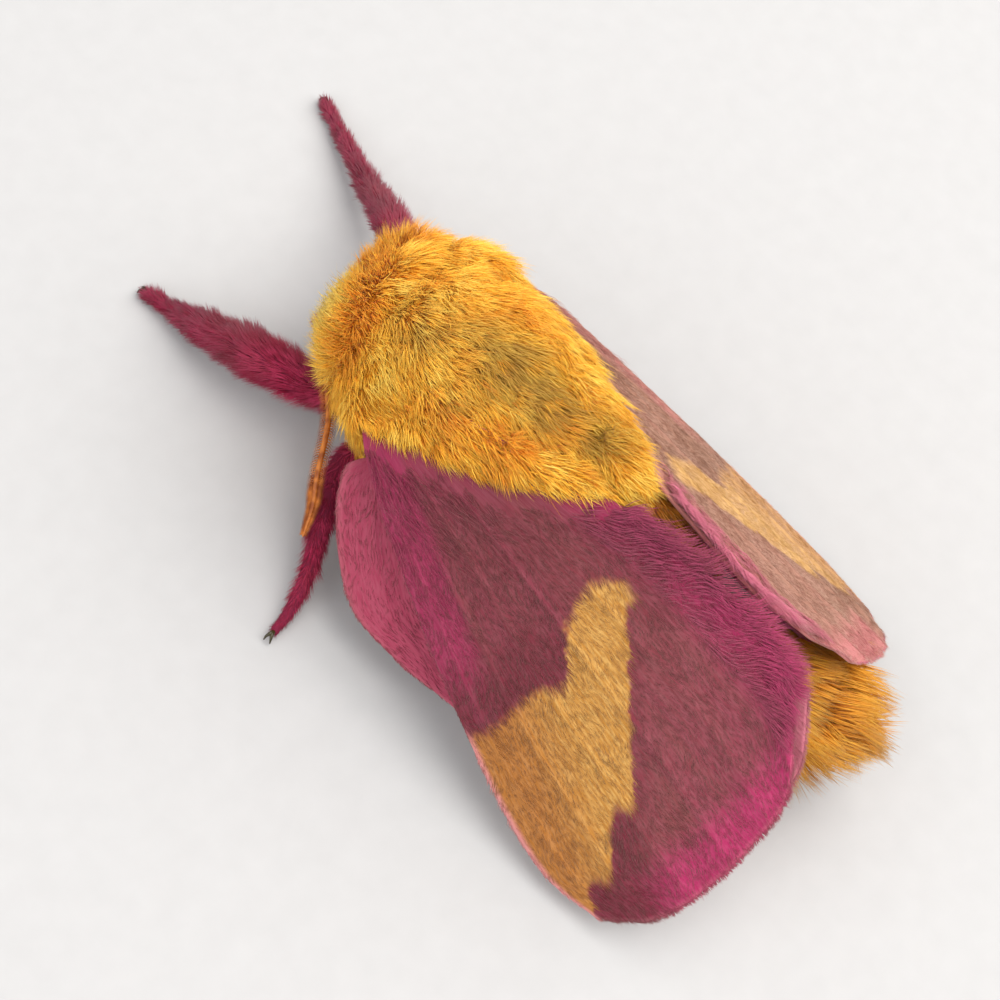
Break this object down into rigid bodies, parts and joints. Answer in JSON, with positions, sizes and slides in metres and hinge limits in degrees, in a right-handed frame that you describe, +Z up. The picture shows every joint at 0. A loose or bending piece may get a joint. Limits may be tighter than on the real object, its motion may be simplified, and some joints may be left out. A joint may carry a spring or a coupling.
{
  "type": "rosy maple moth",
  "caption": "Still life-size moth at rest, with furry thorax, wings closed like a roof, fluffy legs, short feelers and a tufted abdomen.",
  "frame": {"origin": "on the surface that the moth stands on, under the middle of its bounding box", "axes": "+Z up, the head points along -Y, +X is the moth's left side"},
  "size_m": [0.0192, 0.0366, 0.0108],
  "materials": {
    "golden_fur": "long soft golden yellow hair",
    "abdomen_fur": "soft orange yellow hair",
    "crimson_fur": "short dark pink hair",
    "wing_scales": "matt pink and yellow scales with a slight sheen",
    "antenna": "dull orange brown",
    "eye": "glossy black"
  },
  "bodies": {
    "root": {"thorax": "golden_fur", "abdomen": "abdomen_fur", "head": "crimson_fur", "eye_left": "eye", "eye_right": "eye", "antenna_left": "antenna", "antenna_right": "antenna", "forewing_left": "wing_scales", "forewing_right": "wing_scales", "hindwing_left": "wing_scales", "hindwing_right": "wing_scales", "leg_front_left": "crimson_fur", "leg_front_right": "crimson_fur", "leg_middle_left": "crimson_fur", "leg_middle_right": "crimson_fur", "leg_hind_left": "crimson_fur", "leg_hind_right": "crimson_fur"}
  },
  "joints": []
}
